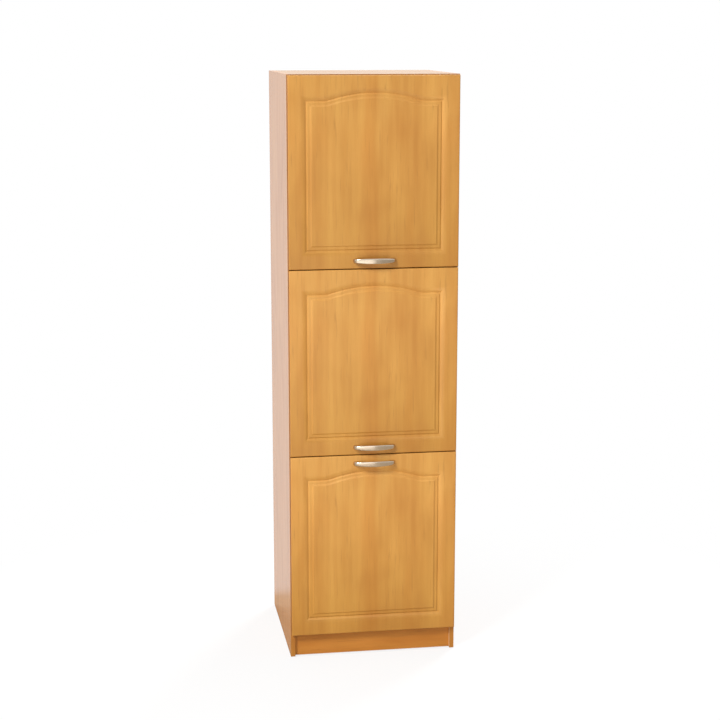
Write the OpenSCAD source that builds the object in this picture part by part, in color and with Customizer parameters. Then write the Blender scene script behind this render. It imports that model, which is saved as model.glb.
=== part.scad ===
// Tall storage cabinet with three routed, side-hung doors, one above the other.
// Millimetres. The origin is on the floor under the middle of the overall box.
// +X is to the right seen from the front, the doors face -Y, and +Z is up.

/* [Cabinet] */
// Overall width across the two sides
cab_w = 600; // [450:10:800]
// Overall height from the floor to the top
cab_h = 2080; // [1900:10:2300]
// Depth of the carcass without its doors
cab_d = 570; // [400:10:620]
// Thickness of the sides, the top, the bottom and the shelves
board_t = 16; // [16:1:19]
// Height of the lower door above the floor
plinth_h = 88; // [75:1:150]
// How far the plinth board stands back from the front edges
plinth_recess = 10; // [5:1:60]
// Gap between the floor and the plinth board
plinth_gap = 5; // [4:1:15]
// Set-back of the loose shelves from the front edges
shelf_setback = 20; // [12:1:60]
// Thickness of the back boards
back_t = 3; // [3:0.5:5]
// Distance from the rear edges to the back boards
back_inset = 10; // [8:1:20]

/* [Doors] */
// Thickness of the doors
door_t = 18; // [18:1:22]
// Reveal at each side of a door
side_reveal = 2; // [1.5:0.5:3]
// Gap between one door and the next
door_gap = 3; // [2:0.5:5]
// Reveal above the upper door
top_reveal = 3; // [2:0.5:6]
// Space between the carcass and the closed doors
door_standoff = 2; // [1.7:0.1:2.5]
// Radius on the front edges of a door
door_edge_r = 4; // [1:0.5:6]

/* [Routed frame] */
// Width of the stiles, from the door's side to the bottom of the groove
stile_w = 74; // [60:1:90]
// Height of the bottom rail, from the door's lower edge to the bottom of the groove
bottom_rail = 74; // [60:1:95]
// Height of the top rail at the arch's shoulders
shoulder_rail = 93; // [76:1:110]
// Rise of the arch above its shoulders
arch_rise = 28; // [10:1:34]
// Length of the flat shoulder at each end of the arch
shoulder_l = 42; // [25:1:60]
// Radius of the hollow curve where the arch leaves the shoulder
spring_r = 100; // [40:5:150]
// Depth of the groove below the door's face
groove_depth = 6; // [3:0.5:7]
// Width of the moulded edge on the frame side of the groove
ogee_w = 16; // [10:1:20]
// Width of the rounding on the panel side of the groove
round_w = 16; // [10:1:24]
// Small upright step at the outer edge of the mouldings
quirk = 1; // [0.4:0.1:1.6]

/* [Handles] */
// Distance between the two screws of a handle
handle_pitch = 128; // [96:32:160]
// Overall reach of the handle in front of the door
handle_reach = 28; // [24:1:36]
// Thickness of the bow in its middle
bow_t = 5; // [4:0.5:8]
// Thickness of the bow at its feet
foot_t = 22; // [14:1:24]
// Height of the bow in its middle
bow_h = 19; // [14:1:24]
// Height of the bow at its feet
foot_h = 15; // [10:1:16]
// Distance from the door's edge to the middle of the handle
handle_edge = 28; // [20:1:40]
// Diameter of the handle screws
handle_screw_d = 4; // [3:0.5:5]

/* [Hinges] */
// Diameter of the hinge cup
cup_d = 35; // [35:1:40]
// Distance from the door's side to the middle of the cup
cup_inset = 22.5; // [22:0.5:26]
// Depth of the cup in the door
cup_depth = 12; // [11:0.5:13]
// Distance from a door's end to the middle of its hinge
hinge_end = 100; // [80:5:160]
// Distance from the front edges to the screws of the hinge plates
plate_setback = 37; // [37:1:40]
// Thickness of the J-shaped hinge link
link_t = 2.5; // [2:0.25:3]
// Width of the hinge link
link_w = 10; // [6:0.5:10.5]
// Diameter of the pin in the cup
pin_d = 4; // [3:0.5:4.5]
// Clearance between a pin and its hole, on the radius
pin_fit = 0.06; // [0.03:0.01:0.1]

/* [Fittings] */
// Pitch of the shelf holes
hole_pitch = 32; // [25:1:40]
// Number of shelf holes in each row
holes_per_row = 7; // [3:2:9]
// Diameter of the shelf holes and of the hinge plate holes
hole_d = 5; // [4:0.5:6]
// Depth of the blind holes in the sides
hole_depth = 11; // [9:0.5:12]
// Distance from the edges of the sides to the rows of shelf holes
row_setback = 60; // [50:5:100]
// Diameter of the cam locks
cam_d = 15; // [12:1:15]
// Distance from a board's end to the middle of its cam locks
cam_inset = 34; // [24:1:34]
// Distance from the front and the back to the cam locks
cam_setback = 70; // [60:5:120]
// Distance from each cam bolt to its dowel
dowel_offset = 32; // [20:1:40]
// Diameter of the dowels
dowel_d = 8; // [6:1:8]
// Length of the dowels
dowel_l = 30; // [24:1:40]
// Diameter of the wall fixing holes
wall_hole_d = 6.5; // [5:0.5:8]
// Distance between the wall fixing holes
wall_hole_pitch = 400; // [200:10:400]
// Thickness of the floor glides
glide_t = 3; // [2:0.5:5]

/* [Hidden] */
$fn = 48;
eps = 1;

// Doors are numbered from the floor
LOWER = 0;
MIDDLE = 1;
UPPER = 2;
DOORS = [LOWER, MIDDLE, UPPER];

// Planes across the depth, from the front of the handles to the rear edges
total_d = handle_reach + door_t + door_standoff + cab_d;
y_face = -total_d / 2 + handle_reach;
y_inner = y_face + door_t;
y_front = y_inner + door_standoff;
y_rear = y_front + cab_d;
y_back = y_rear - back_inset - back_t;

// Planes across the width
x_out = cab_w / 2;
x_in = x_out - board_t;
door_w = cab_w - 2 * side_reveal;
x_hinge = x_out - side_reveal;

// Levels
door_h = (cab_h - plinth_h - top_reveal - 2 * door_gap) / 3;
function door_z(i) = plinth_h + i * (door_h + door_gap);
function fixed_z(i) = door_z(i) - door_gap / 2 - board_t / 2;
function room_floor(i) = i == LOWER ? plinth_h + board_t : fixed_z(i) + board_t;
function room_top(i) = i == UPPER ? cab_h - board_t : fixed_z(i + 1);
function room_mid(i) = (room_floor(i) + room_top(i)) / 2;
function shelf_z(i) = room_mid(i) + hole_d / 2;
board_levels = [plinth_h, fixed_z(MIDDLE), fixed_z(UPPER), cab_h - board_t];
function handle_z(i) = i == LOWER ? door_z(i) + door_h - handle_edge : door_z(i) + handle_edge;
function hinge_zs(i) = [door_z(i) + hinge_end, door_z(i) + door_h - hinge_end];

// Clearances
slip = 0.05;
seat = 0.3;
groove_fit = 0.2;
shelf_side_gap = 1.2;
shelf_back_gap = 8;

// Back boards in their grooves
back_groove = 6;
back_tongue = back_groove - 2 * groove_fit;
joiner_web = 1.2;
joiner_flange = 1.2;
joiner_h = 14;
joiner_z = room_mid(MIDDLE) + board_t / 2;

// Cam locks, bolts and dowels
joint_ys = [y_front + cam_setback, y_back - cam_setback];
dowel_ys = [joint_ys[0] + dowel_offset, joint_ys[1] - dowel_offset];
cam_h = 12.5;
cam_seat = 0.2;
bolt_d = 6;
bolt_neck_d = 4;
bolt_head_d = 6.4;
bolt_head_l = 3;
hole_end_gap = 1;
bolt_thread_l = hole_depth - hole_end_gap;
bolt_bore_d = 7;
collar_gap = 1;
dowel_in_side = hole_depth - hole_end_gap;
dowel_chamfer = 1;

// The row of cup, link and arm is worked out in a plane across the hinge:
// u runs inwards from the door's hinge side, v runs backwards from the carcass front
pin_u = 12;
pin_sink = 4.5;
pin_v = -door_standoff - pin_sink;
bow_inset = 12;
bow_u = side_reveal + bow_inset;
bow_v = 2.5;
bow_r = 9.2;
shank_v = 30;
eye_wall = 1.6;
eye_r = pin_d / 2 + eye_wall;
link_room = 0.6;
shank_step = 0.15;
cup_wall = 1.15;
flange_t = 1.2;
flange_lip = 2;
ear_pitch = 48;
ear_r = 5.5;
ear_offset = 6;
lug_t = 2.5;
cup_screw_d = 3;
cup_screw_l = 11;
cup_screw_head = 0.4;
lug_gap = 1;

// Hinge arm and plate, sizes measured inwards from the side
side_u = board_t - side_reveal;
plate_t = 3.5;
plate_l = 34;
plate_w = 16;
wing_w = 12;
wing_t = 2.5;
wing_r = 6;
plate_screw_pitch = 32;
roof_rise = 15;
roof_u = side_u + roof_rise;
arm_t = 1.5;
arm_w = link_w + 2 * link_room + 2 * arm_t;
arm_front_v = 7;
arm_tail = 25;
arm_rear_v = plate_setback + arm_tail;
boss_gap = 9;
boss_v = plate_setback + boss_gap;
boss_l = 12;
arm_screw_d = 4;
arm_screw_v = boss_v + boss_l / 2;
arm_screw_head = 2;
nose_v = 14;
nose_drop = 9;
nose_flat = 5;
skirt_front = 12;
skirt_v = plate_setback - skirt_front;
tail_slope = 4;
plate_front = 11;
plate_head = 3;
tip_gap = 1;

// Plinth
block_s = 20;
block_toe = 7;
block_h = 60;
plinth_y = y_front + plinth_recess;

// Wood screw heads
head_ratio = 2;
head_h = 1.6;

// Colours as on the real cabinet
foil = "#d79a52";
inner_foil = "#e3c39c";
panel_foil = "#e5bea9";
board_core = "#c7813c";
hdf = "#d9bf9a";
nickel = "#cfc6ba";
steel = "#b9bbbd";
zinc = "#a9abad";
plastic = "#efece4";
dark_plastic = "#3b3632";
clear_pad = "#f4f3ef";
beech = "#dcb37c";

// A disc-headed screw along +Z with its head's underside at the origin
module screw(d, l, head_d = 0, head = head_h) {
    hd = head_d == 0 ? d * head_ratio : head_d;
    rotate_extrude()
        polygon([[0, -l], [d / 4, -l], [d / 2, -l + d / 2], [d / 2, 0], [hd / 2, 0],
            [hd / 2, head / 2], [hd / 2 - head / 2, head], [0, head]]);
}

// Puts its children at a hinge: x becomes u, y becomes v and z stays
module at_hinge(z) {
    translate([x_hinge, y_front, z])
        mirror([1, 0, 0])
            children();
}

module for_hinges(i) {
    for (z = hinge_zs(i))
        at_hinge(z)
            children();
}

module for_all_hinges() {
    for (i = DOORS)
        for_hinges(i)
            children();
}

// Puts its children at both sides of the cabinet, drawn for the right side
module both_sides() {
    children();
    mirror([1, 0, 0])
        children();
}

// Blind holes in the right side, drawn once and mirrored for the left side
module side_holes() {
    for (i = DOORS) {
        for (y = [y_front + row_setback, y_back - row_setback])
            for (n = [0 : holes_per_row - 1])
                side_hole(y, room_mid(i) + (n - (holes_per_row - 1) / 2) * hole_pitch);
        for (z = hinge_zs(i))
            for (s = [-1, 1])
                side_hole(y_front + plate_setback, z + s * plate_screw_pitch / 2);
    }
    for (z = board_levels) {
        for (y = joint_ys)
            side_hole(y, z + board_t / 2);
        for (y = dowel_ys)
            side_hole(y, z + board_t / 2, dowel_d);
    }
    for (z = plinth_dowel_zs)
        side_hole(plinth_y + board_t / 2, z, dowel_d);
}

module side_hole(y, z, d = hole_d) {
    translate([x_in - eps, y, z])
        rotate([0, 90, 0])
            cylinder(d = d + 2 * slip, h = hole_depth + eps);
}

// The right side: it stands on the glides and carries the back's groove
module side_board() {
    difference() {
        translate([x_in, y_front, glide_t])
            cube([board_t, cab_d, cab_h - glide_t]);
        side_holes();
        translate([x_in - eps, y_back - groove_fit, 0])
            cube([back_groove + eps, back_t + 2 * groove_fit, cab_h + eps]);
        for (y = glide_ys)
            translate([glide_x, y, 0])
                cylinder(d = glide_pin_d + 2 * slip, h = glide_t + glide_pin_l + eps);
    }
}

module right_side() {
    color(panel_foil) side_board();
}

module left_side() {
    color(panel_foil) mirror([1, 0, 0]) side_board();
}

// A board between the sides, with its cam locks bored from below
module joined_board(z, depth) {
    difference() {
        translate([-x_in, y_front, z])
            cube([2 * x_in, depth, board_t]);
        both_sides() {
            for (y = joint_ys) {
                translate([x_in - cam_inset, y, z - eps])
                    cylinder(d = cam_d, h = cam_h + eps);
                translate([x_in - cam_inset, y, z + board_t / 2])
                    rotate([0, 90, 0])
                        cylinder(d = bolt_bore_d, h = cam_inset + eps);
            }
            for (y = dowel_ys)
                translate([x_in - (dowel_l - dowel_in_side) - slip, y, z + board_t / 2])
                    rotate([0, 90, 0])
                        cylinder(d = dowel_d + 2 * slip, h = dowel_l);
        }
    }
}

module top_panel() {
    color(panel_foil)
        difference() {
            joined_board(cab_h - board_t, cab_d);
            translate([-x_out, y_back - groove_fit, cab_h - board_t - eps])
                cube([cab_w, back_t + 2 * groove_fit, back_groove + eps]);
            for (x = bracket_xs)
                for (s = [-1, 1])
                    translate([x + s * bracket_screw_pitch / 2, bracket_screw_y, cab_h - board_t - eps])
                        cylinder(d = bracket_screw_d + 2 * slip, h = bracket_screw_l + eps);
        }
}

module bottom_panel() {
    color(inner_foil) joined_board(plinth_h, y_back - y_front);
}

module upper_fixed_shelf() {
    color(inner_foil) joined_board(fixed_z(UPPER), y_back - y_front);
}

module lower_fixed_shelf() {
    color(inner_foil) joined_board(fixed_z(MIDDLE), y_back - y_front);
}

// A loose shelf lies on four pins
module loose_shelf(i) {
    color(inner_foil)
        translate([-x_in + shelf_side_gap, y_front + shelf_setback, shelf_z(i)])
            cube([2 * (x_in - shelf_side_gap), y_back - y_front - shelf_setback - shelf_back_gap, board_t]);
}

module upper_shelf() {
    loose_shelf(UPPER);
}

module middle_shelf() {
    loose_shelf(MIDDLE);
}

module lower_shelf() {
    loose_shelf(LOWER);
}

// A shelf pin: a peg in the side and a wedge with a flat top
pin_peg_l = 8;
wedge_l = 10;
wedge_w = 9;
wedge_drop = 5;
wedge_lip = 1.5;
module shelf_pins() {
    color(nickel)
        both_sides()
            for (i = DOORS)
                for (y = [y_front + row_setback, y_back - row_setback])
                    translate([x_in, y, room_mid(i)]) {
                        rotate([0, 90, 0])
                            cylinder(d = hole_d, h = pin_peg_l);
                        translate([0, wedge_w / 2, 0])
                            rotate([90, 0, 0])
                                linear_extrude(wedge_w)
                                    polygon([[0, hole_d / 2], [-wedge_l, hole_d / 2],
                                        [-wedge_l, hole_d / 2 - wedge_lip], [0, -wedge_drop]]);
                    }
}

// Two back boards in the grooves, joined behind the middle shelf
module back_board(z0, z1) {
    translate([-x_in - back_tongue, y_back, z0])
        cube([2 * (x_in + back_tongue), back_t, z1 - z0]);
}

module upper_back() {
    color(hdf)
        difference() {
            back_board(joiner_z + joiner_web / 2, cab_h - board_t + back_tongue);
            wall_holes();
        }
}

module lower_back() {
    color(hdf) back_board(plinth_h, joiner_z - joiner_web / 2);
}

module back_joiner() {
    color(plastic)
        translate([-x_in + seat, 0, joiner_z])
            rotate([90, 0, 90])
                linear_extrude(2 * (x_in - seat)) {
                    translate([y_back - joiner_flange, -joiner_h / 2])
                        square([joiner_flange, joiner_h]);
                    translate([y_back + back_t, -joiner_h / 2])
                        square([joiner_flange, joiner_h]);
                    translate([y_back - joiner_flange, -joiner_web / 2])
                        square([back_t + 2 * joiner_flange, joiner_web]);
                }
}

// The plinth board stands between the sides on two dowels at each end
plinth_dowel_zs = [plinth_gap + (plinth_h - plinth_gap) / 4, plinth_h - (plinth_h - plinth_gap) / 4];
module plinth_board() {
    color(board_core)
        difference() {
            translate([-x_in, plinth_y, plinth_gap])
                cube([2 * x_in, board_t, plinth_h - plinth_gap]);
            both_sides()
                for (z = plinth_dowel_zs)
                    translate([x_in - (dowel_l - dowel_in_side) - slip, plinth_y + board_t / 2, z])
                        rotate([0, 90, 0])
                            cylinder(d = dowel_d + 2 * slip, h = dowel_l);
        }
}

// A fluted dowel is drawn as its outer cylinder with chamfered ends
module dowel() {
    rotate([0, 90, 0])
        rotate_extrude()
            polygon([[0, 0], [dowel_d / 2 - dowel_chamfer, 0], [dowel_d / 2, dowel_chamfer],
                [dowel_d / 2, dowel_l - dowel_chamfer], [dowel_d / 2 - dowel_chamfer, dowel_l],
                [0, dowel_l]]);
}

module plinth_dowels() {
    color(beech)
        both_sides()
            for (z = plinth_dowel_zs)
                translate([x_in - (dowel_l - dowel_in_side), plinth_y + board_t / 2, z])
                    dowel();
}

module panel_dowels() {
    color(beech)
        both_sides()
            for (z = board_levels)
                for (y = dowel_ys)
                    translate([x_in - (dowel_l - dowel_in_side), y, z + board_t / 2])
                        dowel();
}

// Glue blocks in the corners behind the plinth board
module corner_blocks() {
    color(beech)
        both_sides()
            translate([x_in, plinth_y + board_t, plinth_h - block_h])
                linear_extrude(block_h)
                    polygon([[0, 0], [-block_s, 0], [-block_s, block_toe], [-block_toe, block_s],
                        [0, block_s]]);
}

// Nailed glides under the sides
glide_d = 14;
glide_pin_d = 3;
glide_pin_l = 14;
glide_point = 2;
glide_chamfer = 1;
glide_setback = 30;
glide_x = x_out - board_t / 2;
glide_ys = [y_front + glide_setback, y_rear - glide_setback];
module floor_glides() {
    color(dark_plastic)
        both_sides()
            for (y = glide_ys)
                translate([glide_x, y, 0])
                    rotate_extrude()
                        polygon([[0, 0], [glide_d / 2 - glide_chamfer, 0], [glide_d / 2, glide_chamfer],
                            [glide_d / 2, glide_t], [glide_pin_d / 2, glide_t],
                            [glide_pin_d / 2, glide_t + glide_pin_l - glide_point],
                            [0, glide_t + glide_pin_l]]);
}

// A cam lock: a slotted disc that pulls the bolt's head
module cam_locks() {
    color(zinc)
        both_sides()
            for (z = board_levels)
                for (y = joint_ys)
                    translate([x_in - cam_inset, y, z])
                        difference() {
                            cylinder(d = cam_d - 2 * slip, h = cam_h - cam_seat);
                            translate([-bolt_head_l, 0, board_t / 2])
                                rotate([0, 90, 0])
                                    cylinder(d = bolt_bore_d, h = cam_d);
                            for (a = [0, 90])
                                rotate([0, 0, a])
                                    translate([-cam_d / 4, -cam_slot / 2, -eps])
                                        cube([cam_d / 2, cam_slot, eps + cam_slot]);
                        }
}
cam_slot = 1.2;

// A cam bolt: its thread in the side, its head in the cam lock
module cam_bolts() {
    color(steel)
        both_sides()
            for (z = board_levels)
                for (y = joint_ys)
                    translate([x_in - cam_inset - bolt_head_l / 2, y, z + board_t / 2])
                        rotate([0, 90, 0])
                            rotate_extrude()
                                polygon([[0, 0], [bolt_head_d / 2, 0], [bolt_head_d / 2, bolt_head_l],
                                    [bolt_neck_d / 2, bolt_head_l],
                                    [bolt_neck_d / 2, cam_d / 2 + bolt_head_l],
                                    [bolt_d / 2, cam_d / 2 + bolt_head_l],
                                    [bolt_d / 2, cam_inset + bolt_head_l / 2 - collar_gap],
                                    [hole_d / 2, cam_inset + bolt_head_l / 2 - collar_gap],
                                    [hole_d / 2, cam_inset + bolt_head_l / 2 + bolt_thread_l],
                                    [0, cam_inset + bolt_head_l / 2 + bolt_thread_l]]);
}

// Angle brackets under the top panel, for the wall screws
bracket_w = 40;
bracket_leg = 45;
bracket_foot = 28;
bracket_t = 2;
bracket_screw_d = 3.5;
bracket_screw_l = 12;
bracket_screw_pitch = 22;
bracket_screw_shift = 2;
bracket_screw_y = y_back - bracket_foot / 2 - bracket_screw_shift;
bracket_xs = [-wall_hole_pitch / 2, wall_hole_pitch / 2];
wall_hole_drop = 30;
wall_hole_z = cab_h - board_t - wall_hole_drop;
module wall_holes() {
    for (x = bracket_xs)
        translate([x, y_back - bracket_t - eps, wall_hole_z])
            rotate([-90, 0, 0])
                cylinder(d = wall_hole_d, h = bracket_t + back_t + 2 * eps);
}

module wall_brackets() {
    color(steel)
        difference() {
            for (x = bracket_xs)
                translate([x - bracket_w / 2, 0, cab_h - board_t])
                    rotate([90, 0, 90])
                        linear_extrude(bracket_w)
                            polygon([[y_back, 0], [y_back - bracket_foot, 0],
                                [y_back - bracket_foot, -bracket_t], [y_back - bracket_t, -bracket_t],
                                [y_back - bracket_t, -bracket_leg], [y_back, -bracket_leg]]);
            wall_holes();
            for (x = bracket_xs)
                for (s = [-1, 1])
                    translate([x + s * bracket_screw_pitch / 2, bracket_screw_y,
                            cab_h - board_t - bracket_t - eps])
                        cylinder(d = bracket_screw_d + 2 * slip, h = bracket_t + 2 * eps);
        }
}

module bracket_screws() {
    color(steel)
        for (x = bracket_xs)
            for (s = [-1, 1])
                translate([x + s * bracket_screw_pitch / 2, bracket_screw_y, cab_h - board_t - bracket_t])
                    rotate([180, 0, 0])
                        screw(bracket_screw_d, bracket_screw_l);
}

// Soft pads that the free side of each door closes against
bumper_d = 8;
bumper_end = 30;
module door_bumpers() {
    color(clear_pad)
        for (i = DOORS)
            for (z = [door_z(i) + bumper_end, door_z(i) + door_h - bumper_end])
                translate([-x_out + board_t / 2, y_front, z])
                    rotate([90, 0, 0])
                        cylinder(d = bumper_d, h = door_standoff - seat);
}

// The mounting plate: a bar with two round-ended wings and a boss for the arm
module hinge_plates() {
    color(steel)
        for_all_hinges()
            difference() {
                union() {
                    translate([side_u, plate_setback - plate_front, -plate_w / 2])
                        cube([plate_t, plate_l, plate_w]);
                    translate([side_u, plate_setback - wing_w / 2, -plate_screw_pitch / 2])
                        cube([wing_t, wing_w, plate_screw_pitch]);
                    for (s = [-1, 1])
                        translate([side_u, plate_setback, s * plate_screw_pitch / 2])
                            rotate([0, 90, 0])
                                cylinder(r = wing_r, h = wing_t);
                    translate([side_u, boss_v, -link_w / 2])
                        cube([roof_u - arm_t - side_u, boss_l, link_w]);
                }
                for (s = [-1, 1])
                    translate([side_u - eps, plate_setback, s * plate_screw_pitch / 2])
                        rotate([0, 90, 0])
                            cylinder(d = hole_d + 2 * slip, h = wing_t + 2 * eps);
                translate([side_u + wing_t, arm_screw_v, 0])
                    rotate([0, 90, 0])
                        cylinder(d = arm_screw_d + 2 * slip, h = roof_u);
            }
}

module hinge_plate_screws() {
    color(steel)
        for_all_hinges()
            for (s = [-1, 1])
                translate([side_u + wing_t, plate_setback, s * plate_screw_pitch / 2])
                    rotate([0, 90, 0])
                        screw(hole_d, wing_t + hole_depth - tip_gap, hole_d + plate_head);
}

// The arm: a pressed channel that lies over the plate's boss, with a sloping nose
module hinge_arms() {
    color(nickel)
        for_all_hinges()
            difference() {
                translate([0, 0, -arm_w / 2])
                    linear_extrude(arm_w)
                        polygon([[side_u + plate_t, arm_rear_v - tail_slope], [side_u + plate_t, skirt_v],
                            [roof_u - nose_drop, nose_v], [roof_u - nose_flat, arm_front_v],
                            [roof_u, arm_front_v], [roof_u, arm_rear_v],
                            [side_u + plate_t + tail_slope, arm_rear_v]]);
                translate([side_u, arm_front_v - eps, -arm_w / 2 + arm_t])
                    cube([roof_u - arm_t - side_u, arm_rear_v, arm_w - 2 * arm_t]);
                translate([roof_u - arm_t - eps, arm_screw_v, 0])
                    rotate([0, 90, 0])
                        cylinder(d = arm_screw_d + 2 * slip, h = arm_t + 2 * eps);
            }
}

module hinge_arm_screws() {
    color(steel)
        for_all_hinges()
            translate([roof_u, arm_screw_v, 0])
                rotate([0, 90, 0])
                    screw(arm_screw_d, roof_u - side_u - wing_t - tip_gap, arm_screw_d + plate_head,
                        arm_screw_head);
}

// The cup: pressed shell, flange with two ears, and two lugs that carry the pin
cup_r = cup_d / 2 - slip;
module hinge_cup() {
    back_v = -door_standoff;
    difference() {
        union() {
            translate([cup_inset, back_v - cup_depth + cam_seat, 0])
                rotate([-90, 0, 0])
                    cylinder(r = cup_r, h = cup_depth - cam_seat);
            intersection() {
                translate([cup_inset, back_v, 0])
                    rotate([-90, 0, 0])
                        cylinder(r = cup_d / 2 + flange_lip, h = flange_t);
                translate([cup_inset - cup_d / 2 + cup_wall, back_v, -cup_d])
                    cube([2 * cup_d, flange_t, 2 * cup_d]);
            }
            for (s = [-1, 1])
                translate([cup_inset + ear_offset, back_v, s * ear_pitch / 2])
                    rotate([-90, 0, 0])
                        cylinder(r = ear_r, h = flange_t);
            translate([cup_inset + ear_offset - ear_r, back_v, -ear_pitch / 2])
                cube([2 * ear_r, flange_t, ear_pitch]);
        }
        difference() {
            translate([cup_inset, back_v - cup_depth + cup_wall, 0])
                rotate([-90, 0, 0])
                    cylinder(r = cup_r - cup_wall, h = cup_depth + flange_t);
            for (s = [-1, 1])
                translate([pin_u - eye_r, back_v - cup_depth, s * (link_w / 2 + link_room + lug_t / 2)])
                    translate([0, 0, -lug_t / 2])
                        cube([2 * eye_r, cup_depth - lug_gap, lug_t]);
        }
        translate([pin_u, pin_v, -pin_l / 2])
            cylinder(d = pin_d + 2 * slip, h = pin_l);
        for (s = [-1, 1])
            translate([cup_inset + ear_offset, back_v - eps, s * ear_pitch / 2])
                rotate([-90, 0, 0])
                    cylinder(d = cup_screw_d + 2 * slip, h = flange_t + 2 * eps);
    }
}
pin_l = link_w + 2 * link_room + 2 * lug_t;

module upper_hinge_cups() {
    color(nickel) for_hinges(UPPER) hinge_cup();
}

module middle_hinge_cups() {
    color(nickel) for_hinges(MIDDLE) hinge_cup();
}

module lower_hinge_cups() {
    color(nickel) for_hinges(LOWER) hinge_cup();
}

module cup_screws(i) {
    color(steel)
        for_hinges(i)
            for (s = [-1, 1])
                translate([cup_inset + ear_offset, -door_standoff + flange_t, s * ear_pitch / 2])
                    rotate([-90, 0, 0])
                        screw(cup_screw_d, cup_screw_l, 2 * cup_screw_d, cup_screw_head);
}

module upper_cup_screws() {
    cup_screws(UPPER);
}

module middle_cup_screws() {
    cup_screws(MIDDLE);
}

module lower_cup_screws() {
    cup_screws(LOWER);
}

module hinge_pins(i) {
    color(steel)
        for_hinges(i)
            translate([pin_u, pin_v, -pin_l / 2 + slip])
                cylinder(d = pin_d, h = pin_l - 2 * slip);
}

module upper_hinge_pins() {
    hinge_pins(UPPER);
}

module middle_hinge_pins() {
    hinge_pins(MIDDLE);
}

module lower_hinge_pins() {
    hinge_pins(LOWER);
}

// The link: an eye on the cup's pin, a bow round the door's corner and a straight shank
module link_outline() {
    bow = [bow_u, bow_v];
    pin = [pin_u, pin_v];
    difference() {
        union() {
            translate(pin)
                circle(eye_r);
            intersection() {
                translate(bow)
                    difference() {
                        circle(bow_r + link_t / 2);
                        circle(bow_r - link_t / 2);
                    }
                polygon([bow, bow + 2 * (pin - bow), bow + [0, -2 * bow_r], bow + [2 * bow_r, -2 * bow_r],
                    bow + [2 * bow_r, 0]]);
            }
            translate([bow_u + bow_r - link_t / 2 + shank_step, bow_v - shank_step])
                square([link_t - 2 * shank_step, shank_v - bow_v + shank_step]);
        }
        translate(pin)
            circle(pin_d / 2 + pin_fit);
    }
}

module hinge_links(i) {
    color(nickel)
        for_hinges(i)
            translate([0, 0, -link_w / 2])
                linear_extrude(link_w)
                    link_outline();
}

module upper_hinge_links() {
    hinge_links(UPPER);
}

module middle_hinge_links() {
    hinge_links(MIDDLE);
}

module lower_hinge_links() {
    hinge_links(LOWER);
}

// Doors are drawn lying on their backs, x across and y up the door, then stood up.
// The cutter's section: distance p from the groove's line, positive towards the panel
arc_steps = 4;
function ogee_section() = concat(
    [[-ogee_w, door_t + eps], [-ogee_w, door_t - quirk]],
    [for (n = [1 : arc_steps])
        let (a = 90 * n / arc_steps, half = (ogee_w - quirk) / 2, drop = (groove_depth - 2 * quirk) / 2)
            [-ogee_w + half * sin(a), door_t - quirk - drop * (1 - cos(a))]],
    [for (n = [1 : arc_steps])
        let (a = 90 * n / arc_steps, half = (ogee_w - quirk) / 2, drop = (groove_depth - 2 * quirk) / 2)
            [-ogee_w + half + half * (1 - cos(a)), door_t - quirk - drop - drop * sin(a)]],
    [[-quirk, door_t - groove_depth]],
    [for (n = [0 : arc_steps])
        let (a = 90 * n / arc_steps)
            [quirk + (round_w - quirk) * (1 - cos(a)), door_t - groove_depth * (1 - sin(a))]],
    [[round_w, door_t + eps]]);

half_door = door_w / 2;
groove_x = half_door - stile_w;
shoulder_y = door_h - shoulder_rail;
arch_half = groove_x - shoulder_l;
arch_a = 2 * atan(arch_rise / arch_half);
crown_r = arch_half / sin(arch_a) - spring_r;
spring_steps = 5;
crown_steps = 20;

// Stations of the groove's line: each has its place and the direction towards the panel
function arc_stations(centre, r, from, to, steps, side) = [
    for (n = [0 : steps])
        let (a = from + (to - from) * n / steps)
            [centre + r * [cos(a), sin(a)], side * [cos(a), sin(a)]]];
function inner(list) = [for (n = [1 : len(list) - 2]) list[n]];
groove_line = concat(
    [[[-groove_x, bottom_rail], [1, 1]], [[-groove_x, shoulder_y], [1, -1]]],
    arc_stations([-arch_half, shoulder_y + spring_r], spring_r, -90, -90 + arch_a, spring_steps, 1),
    inner(arc_stations([0, shoulder_y + arch_rise - crown_r], crown_r, 90 + arch_a, 90 - arch_a,
        crown_steps, -1)),
    arc_stations([arch_half, shoulder_y + spring_r], spring_r, -90 - arch_a, -90, spring_steps, 1),
    [[[groove_x, shoulder_y], [-1, -1]], [[groove_x, bottom_rail], [-1, 1]]]);

// The groove: the cutter's section carried round that line, mitred at the four corners
module groove() {
    section = ogee_section();
    m = len(section);
    n = len(groove_line);
    points = [
        for (station = groove_line)
            for (q = section)
                [station[0][0] + q[0] * station[1][0], station[0][1] + q[0] * station[1][1], q[1]]];
    faces = [
        for (j = [0 : n - 1])
            for (k = [0 : m - 1])
                let (a = j * m, b = (j + 1) % n * m, next = (k + 1) % m)
                    [a + next, b + next, b + k, a + k]];
    polyhedron(points, faces);
}

// The section of a slab whose two front edges are rounded
function slab_section(half_l) = concat(
    [[-half_l, 0], [half_l, 0]],
    [for (n = [0 : arc_steps])
        let (a = 90 * n / arc_steps)
            [half_l - door_edge_r * (1 - cos(a)), door_t - door_edge_r * (1 - sin(a))]],
    [for (n = [0 : arc_steps])
        let (a = 90 * n / arc_steps)
            [-half_l + door_edge_r * (1 - sin(a)), door_t - door_edge_r * (1 - cos(a))]]);

module slab() {
    intersection() {
        rotate([90, 0, 0])
            linear_extrude(2 * door_h, center = true)
                polygon(slab_section(half_door));
        translate([0, door_h / 2, 0])
            rotate([90, 0, 90])
                linear_extrude(2 * door_w, center = true)
                    polygon(slab_section(door_h / 2));
    }
}

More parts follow.
